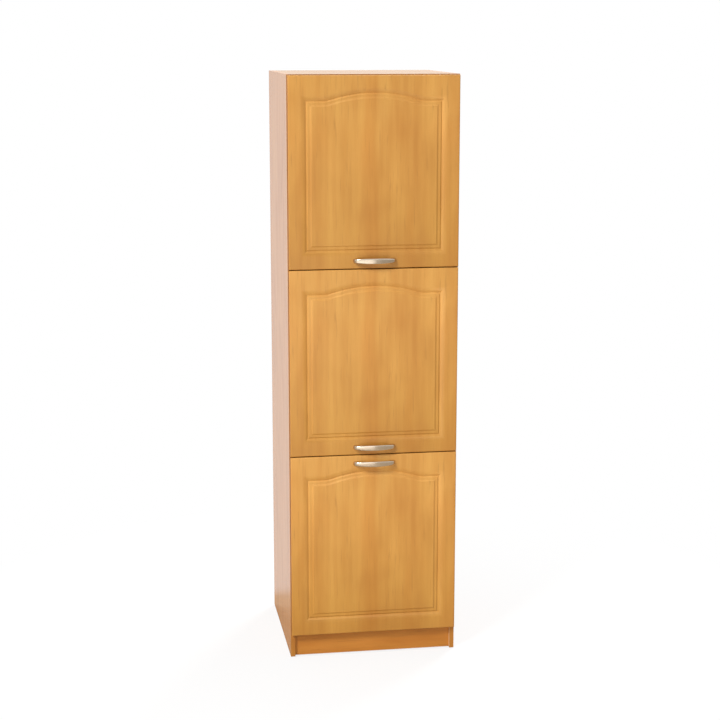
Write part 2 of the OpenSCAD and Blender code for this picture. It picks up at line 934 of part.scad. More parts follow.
module door(i) {
    color(foil)
        difference() {
            translate([0, y_inner, door_z(i)])
                rotate([90, 0, 0])
                    difference() {
                        slab();
                        groove();
                    }
            for_hinges(i) {
                translate([cup_inset, -door_standoff - cup_depth, 0])
                    rotate([-90, 0, 0])
                        cylinder(d = cup_d, h = cup_depth + eps);
                for (s = [-1, 1])
                    translate([cup_inset + ear_offset, -door_standoff - cup_screw_l, s * ear_pitch / 2])
                        rotate([-90, 0, 0])
                            cylinder(d = cup_screw_d + 2 * slip, h = cup_screw_l + eps);
            }
            for (s = [-1, 1])
                translate([s * handle_pitch / 2, y_inner + eps, handle_z(i)])
                    rotate([90, 0, 0])
                        cylinder(d = handle_screw_d + 2 * seat, h = door_t + 2 * eps);
        }
}

module upper_door() {
    door(UPPER);
}

module middle_door() {
    door(MIDDLE);
}

module lower_door() {
    door(LOWER);
}

// The bow handle is one loft: a rounded section carried along half an ellipse
bow_steps = 24;
bow_sides = 16;
foot_power = 3;
bow_a = handle_pitch / 2;
bow_b = handle_reach - bow_t / 2;
handle_bore = 10;
handle_tip_gap = 1;
function bow_thick(a) = bow_t + (foot_t - bow_t) * pow(abs(cos(a)), foot_power);
function bow_height(a) = bow_h + (foot_h - bow_h) * pow(abs(cos(a)), foot_power);
function bow_normal(a) = let (n = [-bow_b * cos(a), bow_a * sin(a)]) n / norm(n);
function bow_ring(a) = [
    for (k = [0 : bow_sides - 1])
        let (
            t = 360 * k / bow_sides,
            out = bow_thick(a) / 2 * sign(cos(t)) * sqrt(abs(cos(t))),
            up = bow_height(a) / 2 * sign(sin(t)) * sqrt(abs(sin(t))),
            n = bow_normal(a)
        )
            [-bow_a * cos(a) + out * n[0], -(bow_b * sin(a) + out * n[1]), up]];

module bow() {
    points = [for (j = [0 : bow_steps]) each bow_ring(180 * j / bow_steps)];
    sides = [
        for (j = [0 : bow_steps - 1])
            for (k = [0 : bow_sides - 1])
                let (a = j * bow_sides + k, b = j * bow_sides + (k + 1) % bow_sides)
                    [a, a + bow_sides, b + bow_sides, b]];
    first = [for (k = [0 : bow_sides - 1]) k];
    last = [for (k = [bow_sides - 1 : -1 : 0]) bow_steps * bow_sides + k];
    polyhedron(points, concat(sides, [first, last]));
}

module handle(i) {
    color(nickel)
        translate([0, y_face, handle_z(i)])
            difference() {
                bow();
                for (s = [-1, 1])
                    translate([s * handle_pitch / 2, eps, 0])
                        rotate([90, 0, 0])
                            cylinder(d = handle_screw_d + 2 * slip, h = handle_bore + eps);
            }
}

module upper_handle() {
    handle(UPPER);
}

module middle_handle() {
    handle(MIDDLE);
}

module lower_handle() {
    handle(LOWER);
}

module handle_screws(i) {
    color(steel)
        for (s = [-1, 1])
            translate([s * handle_pitch / 2, y_inner, handle_z(i)])
                rotate([-90, 0, 0])
                    screw(handle_screw_d, door_t + handle_bore - handle_tip_gap, 2 * handle_screw_d,
                        door_standoff);
}

module upper_handle_screws() {
    handle_screws(UPPER);
}

module middle_handle_screws() {
    handle_screws(MIDDLE);
}

module lower_handle_screws() {
    handle_screws(LOWER);
}

left_side();
right_side();
top_panel();
bottom_panel();
upper_fixed_shelf();
lower_fixed_shelf();
upper_shelf();
middle_shelf();
lower_shelf();
shelf_pins();
upper_back();
lower_back();
back_joiner();
plinth_board();
plinth_dowels();
corner_blocks();
floor_glides();
cam_locks();
cam_bolts();
panel_dowels();
wall_brackets();
bracket_screws();
door_bumpers();
hinge_plates();
hinge_plate_screws();
hinge_arms();
hinge_arm_screws();
upper_door();
middle_door();
lower_door();
upper_handle();
middle_handle();
lower_handle();
upper_handle_screws();
middle_handle_screws();
lower_handle_screws();
upper_hinge_cups();
middle_hinge_cups();
lower_hinge_cups();
upper_cup_screws();
middle_cup_screws();
lower_cup_screws();
upper_hinge_pins();
middle_hinge_pins();
lower_hinge_pins();
upper_hinge_links();
middle_hinge_links();
lower_hinge_links();
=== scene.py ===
# %% [markdown]
# # A tall storage cabinet with three routed doors
#
# The cabinet is a chipboard carcass, 600 mm wide and 2080 mm high, with three equal fronts, one above the
# other. The fronts are the piece to look at: each is a slab of MDF, routed with an arched frame and then
# covered in one sheet of printed foil, so that the grain runs over the mouldings as if they were cut from
# solid alder.
#
# The model was drawn in a CAD program first. Blender loads it as a fixed frame, and this lesson dresses it:
# finer doors and handles, finished boards, screws with real recesses, and a material for each surface.
# Every length is in metres. X runs to the right, Y away from the viewer and Z up.

import math

import bmesh
import bpy
from mathutils import Euler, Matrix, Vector


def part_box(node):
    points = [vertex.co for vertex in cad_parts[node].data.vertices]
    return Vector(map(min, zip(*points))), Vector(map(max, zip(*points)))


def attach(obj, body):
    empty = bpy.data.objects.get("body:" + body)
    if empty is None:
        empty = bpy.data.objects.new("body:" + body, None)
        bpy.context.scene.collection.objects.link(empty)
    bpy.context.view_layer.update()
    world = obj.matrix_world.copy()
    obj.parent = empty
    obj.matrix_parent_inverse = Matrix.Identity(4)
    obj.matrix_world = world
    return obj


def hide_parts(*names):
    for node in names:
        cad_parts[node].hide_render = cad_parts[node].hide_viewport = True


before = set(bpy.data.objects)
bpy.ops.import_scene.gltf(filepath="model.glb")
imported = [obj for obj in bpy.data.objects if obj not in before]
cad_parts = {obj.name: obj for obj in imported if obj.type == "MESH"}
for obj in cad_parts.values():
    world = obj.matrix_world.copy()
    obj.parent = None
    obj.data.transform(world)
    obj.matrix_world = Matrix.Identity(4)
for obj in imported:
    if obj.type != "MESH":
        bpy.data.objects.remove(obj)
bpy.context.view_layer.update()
MM = 0.001

# %% [markdown]
# ## Helpers
#
# Colours are written as the hex values that a picture editor shows. A shader wants linear light, so one
# function turns them. Node trees for materials and for geometry are built the same way: one small function
# adds a node, sets its properties and sockets, and links it to what feeds it.

# %% Colour and node helpers
def linear(code):
    """A hex colour such as #d89b51 as linear red, green, blue and 1."""
    parts = [int(code[i:i + 2], 16) / 255 for i in (1, 3, 5)]
    return [c / 12.92 if c <= 0.04045 else ((c + 0.055) / 1.055) ** 2.4 for c in parts] + [1.0]


def add(tree, kind, settings=None, links=None):
    """Adds a node. A setting is a property's name, or a socket's name or number."""
    node = tree.nodes.new(kind)
    for key, value in (settings or {}).items():
        if isinstance(key, str) and hasattr(node, key):
            setattr(node, key, value)
        else:
            node.inputs[key].default_value = value
    for key, source in (links or {}).items():
        tree.links.new(source, node.inputs[key])
    return node


def new_material(name):
    """An empty material: its tree and its shader, already joined to the output."""
    material = bpy.data.materials.new(name)
    material.use_nodes = True
    tree = material.node_tree
    tree.nodes.clear()
    shader = add(tree, "ShaderNodeBsdfPrincipled")
    add(tree, "ShaderNodeOutputMaterial", {}, {"Surface": shader.outputs[0]})
    return material, tree, shader


def shade(tree, value, stops):
    """A colour ramp whose stops are (position, hex colour)."""
    ramp = add(tree, "ShaderNodeValToRGB", {}, {0: value})
    while len(ramp.color_ramp.elements) < len(stops):
        ramp.color_ramp.elements.new(0.5)
    for element, (position, code) in zip(ramp.color_ramp.elements, stops):
        element.position = position
        element.color = linear(code)
    return ramp.outputs["Color"]


# %% [markdown]
# ## Sizes from the frame
#
# The frame knows where every CAD node is. Reading the sizes from it keeps the dressing and the CAD model
# together: if a door grows, its replacement grows with it. The cutter's section, the bores and the bow of
# the handle are set further down, because a box doesn't tell them.

# %% Measure the cabinet
DOORS = ("lower", "middle", "upper")
door_low, door_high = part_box("lower_door")
DOOR_W = door_high.x - door_low.x
DOOR_H = door_high.z - door_low.z
DOOR_T = door_high.y - door_low.y
DOOR_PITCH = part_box("middle_door")[0].z - door_low.z
DOOR_SIDE = door_high.x
Y_FACE = door_low.y
Y_INNER = door_high.y
Y_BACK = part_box("upper_back")[1].y
X_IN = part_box("right_side")[0].x
print("door", round(DOOR_W, 3), round(DOOR_H, 3), round(DOOR_T, 3), "pitch", round(DOOR_PITCH, 3))

# %% [markdown]
# ## The camera
#
# The photograph was taken from the left and from a little above the top, with a long lens. A camera was
# fitted to the corners of the doors, the sides and the plinth. It is set first, because everything after
# it is judged through it. The lens isn't shifted, so the other views keep the object in their middle.

# %% Camera
camera_data = bpy.data.cameras.new("camera")
camera_data.lens = 82.6
camera_data.sensor_width = 36
camera = bpy.data.objects.new("camera", camera_data)
camera.location = (-0.932, -5.884, 2.224)
camera.rotation_euler = (math.radians(78.73), 0, math.radians(-8.94))
bpy.context.scene.collection.objects.link(camera)
bpy.context.scene.camera = camera
print("camera at", tuple(camera.location))

# %% [markdown]
# ## Printed wood
#
# The fronts are MDF under a vacuum-pressed PVC foil, printed as alder: honey-coloured staves, a straight
# grain, and short dark flecks. Foil is semi-matt, so it shows soft reflections at low angles and almost
# none from the front. A door's flat edges get a darker copy of the print: painted shade, for the shade in
# the gaps round each door. The boards of the carcass carry the same print on melamine paper, which is a
# little glossier, and a browner edge band.
#
# One picture of a board can't be used here, so the print is made from noise that is stretched along the
# grain. Each layer has a real size, across and along the board: clouds 110 by 280 mm, blotches 45 by
# 260 mm, streaks 16 by 420 mm, dashes 6 by 110 mm where the grain dips, and fibres 1.6 by 60 mm. Real
# fibres are about 0.3 mm wide, so they are drawn coarser, or they would vanish.
#
# The foil's picture starts again at each door, so the three fronts look alike. Across a front its tone
# changes from stave to stave. Down each front the colour is painted a little darker and warmer towards the
# bottom: painted shade, where less light falls.

# %% Wood print
STAVE_SWAY = 50 * MM


def wood_print(name, tones, fleck, roughness, grain="Z", repeat=None, staves=None, painted_shade_rise=None):
    """A printed wood: tones are three hex colours from light to dark, grain the axis it runs along.
    A print that repeats has its start and length, its stops of tone across a front, and its stops of painted
    shade up a front, darker towards the bottom."""
    material, tree, shader = new_material(name)
    place = add(tree, "ShaderNodeTexCoord").outputs["Object"]
    axes = add(tree, "ShaderNodeSeparateXYZ", {}, {0: place})
    along = axes.outputs[grain]
    if repeat:
        start, length = repeat
        from_start = add(tree, "ShaderNodeMath", {"operation": "SUBTRACT", 1: start}, {0: along})
        along = add(tree, "ShaderNodeMath", {"operation": "MODULO", 1: length},
                    {0: from_start.outputs[0]}).outputs[0]
    across = [axes.outputs[axis] for axis in "XYZ" if axis != grain]
    board = add(tree, "ShaderNodeCombineXYZ", {}, {0: across[0], 1: across[1], 2: along}).outputs[0]

    def layer(width, length, detail, roughness, distortion, offset):
        """Noise whose grains are width across the board and length along it."""
        stretch = add(tree, "ShaderNodeMapping",
                      {"Scale": (1 / width, 1 / width, 1 / length), "Location": (offset, offset, offset)},
                      {"Vector": board})
        noise = add(tree, "ShaderNodeTexNoise",
                    {"Scale": 1.0, "Detail": detail, "Roughness": roughness, "Distortion": distortion},
                    {"Vector": stretch.outputs[0]})
        return noise.outputs["Fac"]

    def multiply(colour, tint, share=1.0):
        return add(tree, "ShaderNodeMix", {"data_type": "RGBA", "blend_type": "MULTIPLY", 0: share},
                   {6: colour, 7: tint}).outputs[2]

    clouds = layer(110 * MM, 280 * MM, 2, 0.5, 0.3, 3.1)
    colour = shade(tree, clouds, [(0.3, tones[0]), (0.52, tones[1]), (0.72, tones[2])])
    blotches = layer(45 * MM, 260 * MM, 1, 0.5, 0.3, 8.6)
    colour = multiply(colour, shade(tree, blotches, [(0.45, "#ffffff"), (0.75, "#f8f1e7")]))
    streaks = layer(16 * MM, 420 * MM, 2, 0.5, 0.4, 5.2)
    colour = multiply(colour, shade(tree, streaks, [(0.35, "#ffffff"), (0.7, "#f8f3ec")]))
    if repeat:
        sway = add(tree, "ShaderNodeMath", {"operation": "MULTIPLY_ADD", 1: STAVE_SWAY, 2: -STAVE_SWAY / 2},
                   {0: layer(150 * MM, 260 * MM, 1, 0.5, 0.0, 9.4)})
        swayed = add(tree, "ShaderNodeMath", {"operation": "ADD"},
                     {0: axes.outputs["X"], 1: sway.outputs[0]})
        width = add(tree, "ShaderNodeMapRange",
                    {"From Min": -DOOR_W / 2, "From Max": DOOR_W / 2}, {"Value": swayed.outputs[0]})
        height = add(tree, "ShaderNodeMapRange", {"From Max": length}, {"Value": along})
        colour = multiply(colour, shade(tree, width.outputs[0], staves))
        # Painted shade: each front darker and warmer towards its bottom.
        colour = multiply(colour, shade(tree, height.outputs[0], painted_shade_rise))
    fibres = layer(1.6 * MM, 60 * MM, 2, 0.6, 0.0, 7.7)
    colour = multiply(colour, shade(tree, fibres, [(0.3, "#f0ece4"), (0.6, "#ffffff")]), 0.3)
    dashes = layer(6 * MM, 110 * MM, 2, 0.5, 0.2, 12.3)
    fleck_mask = add(tree, "ShaderNodeMapRange",
                     {"From Min": 0.62, "From Max": 0.8, "To Max": 0.45}, {"Value": dashes})
    colour = add(tree, "ShaderNodeMix", {"data_type": "RGBA", 7: linear(fleck)},
                 {0: fleck_mask.outputs[0], 6: colour}).outputs[2]
    tree.links.new(colour, shader.inputs["Base Color"])

    bump = add(tree, "ShaderNodeBump", {"Strength": 0.25, "Distance": 0.02 * MM}, {"Height": fibres})
    tree.links.new(bump.outputs[0], shader.inputs["Normal"])
    shader.inputs["Roughness"].default_value = roughness
    shader.inputs["IOR"].default_value = 1.5
    return material


door_foil = wood_print(
    "alder_foil_pressed", ("#e2ab59", "#daa453", "#d1994b"), "#a56e30", 0.42,
    repeat=(door_low.z, DOOR_PITCH),
    staves=[(0.0, "#fcf8f2"), (0.2, "#fbf8f4"), (0.235, "#ffffff"), (0.33, "#ffffff"), (0.42, "#fdfaf6"),
            (0.45, "#f8efe2"), (0.5, "#f8efe2"), (0.53, "#ffffff"), (0.7, "#fdfbf8"), (0.76, "#f7f1ea"),
            (0.8, "#faf5ee"), (0.84, "#ffffff"), (1.0, "#faf4ee")],
    # Painted shade up each front: darker and warmer towards its bottom.
    painted_shade_rise=[(0.03, "#e5ddc3"), (0.18, "#eeead6"), (0.39, "#f0ebdc"), (0.6, "#f5f0e7"), (0.7, "#faf6f0"),
          (0.8, "#ffffff")])
side_foil = wood_print(
    "alder_melamine_side", ("#d3985d", "#cf9359", "#c5894f"), "#a16a3b", 0.27)
top_foil = wood_print(
    "alder_melamine_top", ("#c99e6c", "#c59968", "#bb8f5d"), "#a16f48", 0.27, grain="X")
# Painted shade: a darker copy of the print for the doors' flat edges, standing in for the shade in the gaps
# round each door.
door_edge_painted_shade = wood_print(
    "alder_foil_door_edge", ("#955a22", "#8f541d", "#844b18"), "#784517", 0.6)
edge_band = wood_print(
    "alder_edge_band", ("#c08231", "#b97b2c", "#ae7127"), "#935c20", 0.55)
plinth_foil = wood_print(
    "alder_foil_plinth", ("#cb8635", "#c37f2e", "#b77428"), "#985e22", 0.5, grain="X")
print("wood prints:", [m.name for m in (door_foil, side_foil, top_foil, door_edge_painted_shade, edge_band,
                                        plinth_foil)])

# %% Light wood inside
inner_melamine = wood_print(
    "maple_melamine_inside", ("#ecd6b6", "#e8d0ae", "#e0c6a2"), "#c8a67c", 0.4)
shelf_melamine = wood_print(
    "maple_melamine_shelf", ("#ecd6b6", "#e8d0ae", "#e0c6a2"), "#c8a67c", 0.4, grain="X")
beech_wood = wood_print(
    "beech_dowel_wood", ("#e2bd8a", "#dcb37c", "#cfa26a"), "#a9793f", 0.6, grain="X")

# %% [markdown]
# ## Raw board, hardboard and plastics
#
# Where an edge isn't seen in use, the maker leaves the chipboard bare: pressed chips of 2 to 6 mm in a paler
# dust. The back boards are hardboard: fine brown fibre felt, smooth and a little shiny outside. The plastic
# parts are moulded, so their colour is even and only a faint unevenness of the gloss shows.

# %% Chipboard and hardboard
def speckled(name, tones, size, roughness, bump_depth):
    """A board of chips or fibres of the given size, in three tones."""
    material, tree, shader = new_material(name)
    place = add(tree, "ShaderNodeTexCoord").outputs["Object"]
    chips = add(tree, "ShaderNodeTexVoronoi", {"Scale": 1 / size, "Randomness": 1.0}, {"Vector": place})
    grey = add(tree, "ShaderNodeSeparateColor", {}, {0: chips.outputs["Color"]})
    dust = add(tree, "ShaderNodeTexNoise", {"Scale": 3 / size, "Detail": 3.0}, {"Vector": place})
    mixed = add(tree, "ShaderNodeMix", {0: 0.45}, {2: grey.outputs[0], 3: dust.outputs["Fac"]})
    colour = shade(tree, mixed.outputs[0], [(0.15, tones[2]), (0.5, tones[1]), (0.85, tones[0])])
    tree.links.new(colour, shader.inputs["Base Color"])
    bump = add(tree, "ShaderNodeBump", {"Strength": 0.5, "Distance": bump_depth},
               {"Height": mixed.outputs[0]})
    tree.links.new(bump.outputs[0], shader.inputs["Normal"])
    shader.inputs["Roughness"].default_value = roughness
    return material


raw_chipboard = speckled("chipboard_raw", ("#dcc096", "#c8a676", "#a98454"), 3 * MM, 0.85, 0.2 * MM)
back_hardboard = speckled("hardboard_pressed", ("#d8b78a", "#d1ae80", "#c8a373"), 1.2 * MM, 0.5, 0.02 * MM)


def moulded(name, colour, roughness, clear=0.0):
    """A moulded plastic with a faintly uneven gloss, as its mould leaves it."""
    material, tree, shader = new_material(name)
    place = add(tree, "ShaderNodeTexCoord").outputs["Object"]
    cloud = add(tree, "ShaderNodeTexNoise", {"Scale": 1 / (4 * MM), "Detail": 2.0}, {"Vector": place})
    gloss = add(tree, "ShaderNodeMapRange", {"To Min": roughness - 0.05, "To Max": roughness + 0.05},
                {"Value": cloud.outputs["Fac"]})
    tree.links.new(gloss.outputs[0], shader.inputs["Roughness"])
    shader.inputs["Base Color"].default_value = linear(colour)
    shader.inputs["IOR"].default_value = 1.5
    shader.inputs["Transmission Weight"].default_value = clear
    return material


white_plastic = moulded("polystyrene_white", "#f1eee6", 0.4)
dark_plastic = moulded("polyethylene_dark", "#3b3632", 0.5)
clear_bumper = moulded("polyurethane_clear", "#f4f3ef", 0.3, clear=0.6)
print("plastics:", white_plastic.name, dark_plastic.name, clear_bumper.name)

# %% [markdown]
# ## Metals
#
# The handles are zinc castings with a satin nickel finish: brushed before plating, so the gloss is broken
# up and the bow shows one broad bright side and one grey side. The hinges are pressed steel with bright
# nickel. Screws and brackets are zinc-plated steel, which is greyer, and the cam locks are zinc castings
# with the dull skin of the mould.

# %% Metals
def metal(name, colour, roughness, line, depth=0.01 * MM):
    """A plated or cast metal. line is the size of its brush marks or grain, in metres, along X, Y and Z."""
    material, tree, shader = new_material(name)
    place = add(tree, "ShaderNodeTexCoord").outputs["Object"]
    stretch = add(tree, "ShaderNodeMapping", {"Scale": [1 / size for size in line]}, {"Vector": place})
    marks = add(tree, "ShaderNodeTexNoise", {"Scale": 1.0, "Detail": 3.0}, {"Vector": stretch.outputs[0]})
    gloss = add(tree, "ShaderNodeMapRange", {"To Min": roughness - 0.06, "To Max": roughness + 0.08},
                {"Value": marks.outputs["Fac"]})
    bump = add(tree, "ShaderNodeBump", {"Strength": 0.3, "Distance": depth}, {"Height": marks.outputs["Fac"]})
    tree.links.new(gloss.outputs[0], shader.inputs["Roughness"])
    tree.links.new(bump.outputs[0], shader.inputs["Normal"])
    shader.inputs["Base Color"].default_value = linear(colour)
    shader.inputs["Metallic"].default_value = 1.0
    return material


satin_nickel = metal("nickel_satin_brushed", "#c6b8a6", 0.24, (30 * MM, 0.8 * MM, 0.8 * MM))
nickel_plate = metal("nickel_bright_plated", "#d6d0c6", 0.22, (6 * MM, 6 * MM, 6 * MM))
zinc_steel = metal("zinc_plated_steel", "#c2c5c8", 0.32, (4 * MM, 4 * MM, 4 * MM))
zinc_casting = metal("zinc_casting_dull", "#a9abad", 0.5, (1.5 * MM, 1.5 * MM, 1.5 * MM), 0.05 * MM)
print("metals:", satin_nickel.name, nickel_plate.name, zinc_steel.name, zinc_casting.name)

# %% [markdown]
# ## A finish for every CAD node
#
# The record names a slot for each node's finish. Nodes that stay as they are in CAD get their material
# from this list. Nodes that are replaced later get it again on the new piece.

# %% Finish the CAD nodes
FINISHES = {
    "door_foil": door_foil, "side_foil": side_foil, "inner_melamine": inner_melamine,
    "plinth_foil": plinth_foil, "back_hardboard": back_hardboard, "beech_wood": beech_wood,
    "satin_nickel": satin_nickel, "nickel_plate": nickel_plate, "zinc_steel": zinc_steel,
    "zinc_casting": zinc_casting, "white_plastic": white_plastic, "dark_plastic": dark_plastic,
    "clear_bumper": clear_bumper}
slot_of = {}
for node_name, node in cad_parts.items():
    slot_of[node_name] = node.data.materials[0].name.split(".")[0]
    for material_slot in node.material_slots:
        material_slot.material = FINISHES[slot_of[node_name]]
print("finished", len(slot_of), "nodes")

# %% [markdown]
# ## Pieces and bodies
#
# Every new piece moves with one body of the CAD model and stands for the nodes that it replaces, which are
# hidden. Three lines do that for each piece, so they are kept in one function. A piece of many faces is
# shaded smooth, except at edges that are sharper than the given angle.

# %% Place a piece
def place_piece(name, mesh, body, stands_for=()):
    """Makes the mesh an object of the scene, on its body, and hides the nodes it stands for."""
    piece = bpy.data.objects.new(name, mesh)
    bpy.context.scene.collection.objects.link(piece)
    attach(piece, body)
    if stands_for:
        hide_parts(*stands_for)
    return piece


def smooth(mesh, angle=30):
    """Shades smooth, with edges above the angle kept sharp."""
    mesh.shade_smooth()
    mesh.set_sharp_from_angle(angle=math.radians(angle))


def add_modifier(piece, kind, **settings):
    modifier = piece.modifiers.new(kind.lower(), kind)
    for key, value in settings.items():
        setattr(modifier, key, value)
    return modifier


def evaluated_mesh(piece):
    """The piece's mesh after its modifiers, as a plain mesh, with the modifiers removed."""
    bpy.context.view_layer.update()
    mesh = bpy.data.meshes.new_from_object(piece.evaluated_get(bpy.context.evaluated_depsgraph_get()))
    piece.modifiers.clear()
    return mesh


def apply_modifiers(piece):
    name = piece.name
    piece.data = evaluated_mesh(piece)
    piece.data.name = name


# %% [markdown]
# ## The routed doors
#
# A real front is cut by one router bit that runs round a template. On the frame side it leaves a shallow
# arc, then a narrow flat at the bottom, and on the panel side a step, a ledge and an ogee. Its path has two
# straight stiles, a bottom rail, and an arch that springs from flat shoulders in two hollow curves. A
# boolean with a swept cutter would give that shape, but with poor corners. Here the door is built as the
# bit leaves it: the section is set up at each station of the path, mitred at the four corners, and the
# rings are joined. The same rings go on outwards over the rounded edge to the back, so the door is one
# closed skin, as the foil is.

# %% The cutter's section and its path
STILE = 62 * MM
BOTTOM_RAIL = 63 * MM
SHOULDER_RAIL = 87 * MM
ARCH_RISE = 28 * MM
SHOULDER = 54 * MM
SPRING_R = 100 * MM
GROOVE_DEPTH = 5.5 * MM
ARC_W = 20 * MM
FLAT_W = 1 * MM
STEP_W = 5 * MM
LEDGE_W = 6 * MM
LEDGE_DEPTH = 3 * MM
OGEE_W = 8 * MM


def ogee(start, width, deep, shallow, steps):
    """Points of an even S curve that rises over a width."""
    return [(start + width * k / steps, deep + (shallow - deep) * (1 - math.cos(math.pi * k / steps)) / 2)
            for k in range(steps + 1)]


def cutter_section(steps=10):
    """Distances (towards the panel, below the face) from the frame's face to the panel's face."""
    radius = (ARC_W ** 2 + GROOVE_DEPTH ** 2) / (2 * GROOVE_DEPTH)
    end = math.asin(ARC_W / radius)
    arc = [(radius * math.sin(end * k / steps) - ARC_W, radius * (1 - math.cos(end * k / steps)))
           for k in range(steps + 1)]
    step = ogee(FLAT_W, STEP_W, GROOVE_DEPTH, LEDGE_DEPTH, steps)
    return arc + step + ogee(FLAT_W + STEP_W + LEDGE_W, OGEE_W, LEDGE_DEPTH, 0, steps)


def arc_stations(centre, radius, start, end, steps, side):
    """Stations on an arc between two angles in degrees. The panel is outside it (1) or inside it (-1)."""
    stations = []
    for n in range(steps + 1):
        a = math.radians(start + (end - start) * n / steps)
        out = Vector((math.cos(a), math.sin(a)))
        stations.append((centre + radius * out, side * out))
    return stations


def groove_path(spring_steps=12, crown_steps=64):
    """Stations round the groove: (place, direction towards the panel), x across and y up the door."""
    groove_x = DOOR_W / 2 - STILE
    shoulder_y = DOOR_H - SHOULDER_RAIL
    arch_half = groove_x - SHOULDER
    turn = 2 * math.degrees(math.atan(ARCH_RISE / arch_half))
    crown_r = arch_half / math.sin(math.radians(turn)) - SPRING_R
    spring_y = shoulder_y + SPRING_R
    left = arc_stations(Vector((-arch_half, spring_y)), SPRING_R, -90, -90 + turn, spring_steps, 1)
    crown = arc_stations(Vector((0, shoulder_y + ARCH_RISE - crown_r)), crown_r, 90 + turn, 90 - turn,
                         crown_steps, -1)
    right = arc_stations(Vector((arch_half, spring_y)), SPRING_R, -90 - turn, -90, spring_steps, 1)
    return ([(Vector((-groove_x, BOTTOM_RAIL)), Vector((1, 1))),
             (Vector((-groove_x, shoulder_y)), Vector((1, -1)))]
            + left + crown[1:-1] + right
            + [(Vector((groove_x, shoulder_y)), Vector((-1, -1))),
               (Vector((groove_x, BOTTOM_RAIL)), Vector((-1, 1)))])


section = cutter_section()
path = groove_path()
print("section points:", len(section), "stations:", len(path))

# %% [markdown]
# Outside the groove each station looks at one point of the door's edge: a corner looks at a corner, and a
# point of the arch looks straight up. That gives clean quads over the frame and the rounded edges. The
# bores of the hinge cups and the screws are cut afterwards, from the back, with a boolean on closed meshes.

# %% Build a door
EDGE_R = 4 * MM
EDGE_STEPS = 8
MERGE = 0.002 * MM


def door_mesh(name, z0):
    """A closed door whose lower edge is at z0: rings from the back, round the edge, to the panel."""
    half_w = DOOR_W / 2

    def edge_point(station, inset):
        """The point of the door's outline that a station looks at."""
        place, inward = station
        x = place.x if abs(inward.x) < 0.99 else math.copysign(half_w - inset, place.x)
        y = inset if place.y < DOOR_H / 2 else DOOR_H - inset
        return x, y

    rings = [[(*edge_point(s, 0), DOOR_T) for s in path]]
    for k in range(EDGE_STEPS + 1):
        a = math.radians(90 * k / EDGE_STEPS)
        rings.append([(*edge_point(s, EDGE_R * (1 - math.cos(a))), EDGE_R * (1 - math.sin(a)))
                      for s in path])
    for towards, below in section:
        rings.append([(*(s[0] + towards * s[1]), below) for s in path])
    skin = bmesh.new()
    verts = [[skin.verts.new((x, Y_FACE + below, z0 + y)) for x, y, below in ring] for ring in rings]
    n = len(path)
    for outer, inner in zip(verts, verts[1:]):
        for i in range(n):
            j = (i + 1) % n
            skin.faces.new((outer[i], outer[j], inner[j], inner[i]))
    skin.faces.new(verts[-1])
    skin.faces.new(verts[0][::-1])
    bmesh.ops.recalc_face_normals(skin, faces=skin.faces)
    mesh = bpy.data.meshes.new(name)
    skin.to_mesh(mesh)
    skin.free()
    return mesh


def cylinder_mesh(name, holes, sides=48):
    """Closed cylinders along Y: each hole is (x, y start, y end, z, radius)."""
    cutter = bmesh.new()
    for x, y0, y1, z, radius in holes:
        ends = []
        for y in (y0, y1):
            ring = [cutter.verts.new((x + radius * math.cos(2 * math.pi * k / sides), y,
                                      z + radius * math.sin(2 * math.pi * k / sides)))
                    for k in range(sides)]
            ends.append(ring)
        for k in range(sides):
            m = (k + 1) % sides
            cutter.faces.new((ends[0][k], ends[0][m], ends[1][m], ends[1][k]))
        cutter.faces.new(ends[0])
        cutter.faces.new(ends[1][::-1])
    bmesh.ops.recalc_face_normals(cutter, faces=cutter.faces)
    mesh = bpy.data.meshes.new(name)
    cutter.to_mesh(mesh)
    cutter.free()
    return mesh


def solid_boxes(node_name):
    """The box of each separate solid of a CAD node."""
    work = bmesh.new()
    work.from_mesh(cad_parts[node_name].data)
    bmesh.ops.remove_doubles(work, verts=work.verts, dist=MERGE)
    boxes = []
    left = set(work.verts)
    while left:
        group = {left.pop()}
        edge = list(group)
        while edge:
            near = [e.other_vert(v) for v in edge for e in v.link_edges]
            edge = [v for v in set(near) if v not in group]
            group.update(edge)
        left -= group
        low = Vector([min(v.co[i] for v in group) for i in range(3)])
        high = Vector([max(v.co[i] for v in group) for i in range(3)])
        boxes.append((low, high))
    work.free()
    boxes.sort(key=lambda box: tuple(round(c, 4) for c in box[0]))
    return boxes


print("solids of the cups:", [len(solid_boxes(d + "_hinge_cups")) for d in DOORS])

# %% Make the three doors
CUP_R = 17.5 * MM
CUP_DEPTH = 12 * MM
CUP_FROM_SIDE = 22.5 * MM
CUP_SCREW_R = 1.55 * MM
CUP_SCREW_DEPTH = 11 * MM
HANDLE_SCREW_R = 2.3 * MM
BACK_DEPTH = CUP_DEPTH + MM
EDGE_PLANES = [corner.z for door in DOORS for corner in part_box(door + "_door")]
NEAR = 0.1 * MM


def door_faces(polygon):
    """0 for the foil, 1 for the pale back and the ends of its bores, 2 for the flat edges, painted darker as
    shade.
    """
    if polygon.normal.y > 0.9 and polygon.center.y > Y_INNER - BACK_DEPTH:
        return 1
    on_top_or_bottom = min(abs(polygon.center.z - plane) for plane in EDGE_PLANES) < NEAR
    if abs(polygon.normal.y) < 0.01 and (on_top_or_bottom or abs(polygon.center.x) > DOOR_SIDE - NEAR):
        return 2
    return 0


